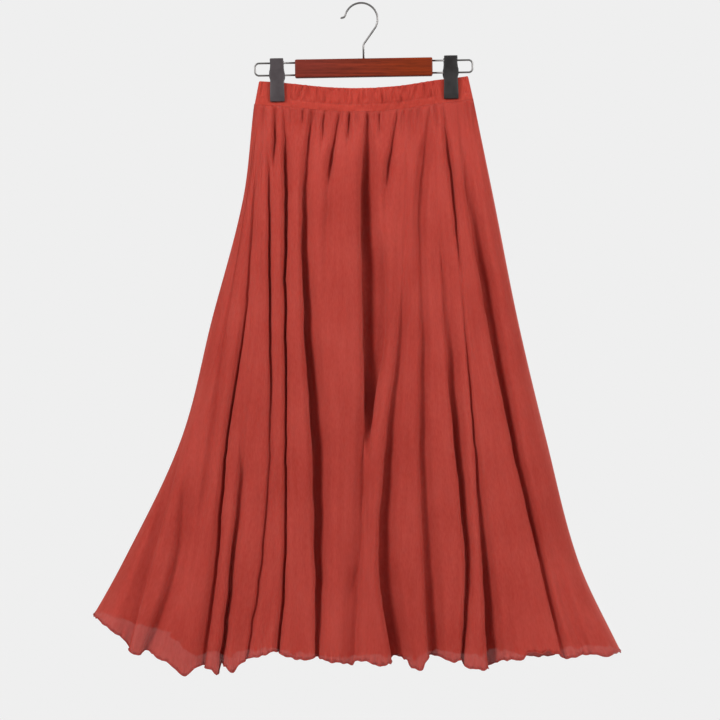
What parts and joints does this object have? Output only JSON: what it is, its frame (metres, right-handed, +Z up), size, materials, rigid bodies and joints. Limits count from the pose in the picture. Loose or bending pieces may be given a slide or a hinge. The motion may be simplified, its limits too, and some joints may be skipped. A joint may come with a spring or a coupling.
{
  "type": "maxi skirt on a trouser hanger",
  "caption": "Long flared skirt with a ruched elastic waistband, uneven vertical folds and a wavy hem, held by the clips of a wooden-bar trouser hanger with a steel hook.",
  "frame": {"origin": "inside top of the hanger's hook, where a rail carries it", "axes": "+Z up, -Y towards the front of the skirt, +X along the hanger to the viewer's right"},
  "size_m": [0.8137, 0.1508, 1.0309],
  "materials": {
    "cloth": "thin matt crinkled cotton crepe, rust red",
    "waistband": "the same crepe, ruched over elastic",
    "hem_edge": "dense overlock thread",
    "bar_wood": "mahogany stain under clear lacquer",
    "wire_steel": "nickel-plated steel wire",
    "clip_plastic": "moulded, black, satin",
    "spring_steel": "spring wire"
  },
  "bodies": {
    "root": {"skirt_front": "cloth", "skirt_back": "cloth", "waistband": "waistband", "hem_front": "hem_edge", "hem_back": "hem_edge", "bar": "bar_wood", "hook": "wire_steel", "frame_left": "wire_steel", "frame_right": "wire_steel", "left_clip_front_jaw": "clip_plastic", "left_clip_back_jaw": "clip_plastic", "left_clip_spring": "spring_steel", "right_clip_front_jaw": "clip_plastic", "right_clip_back_jaw": "clip_plastic", "right_clip_spring": "spring_steel"}
  },
  "joints": []
}
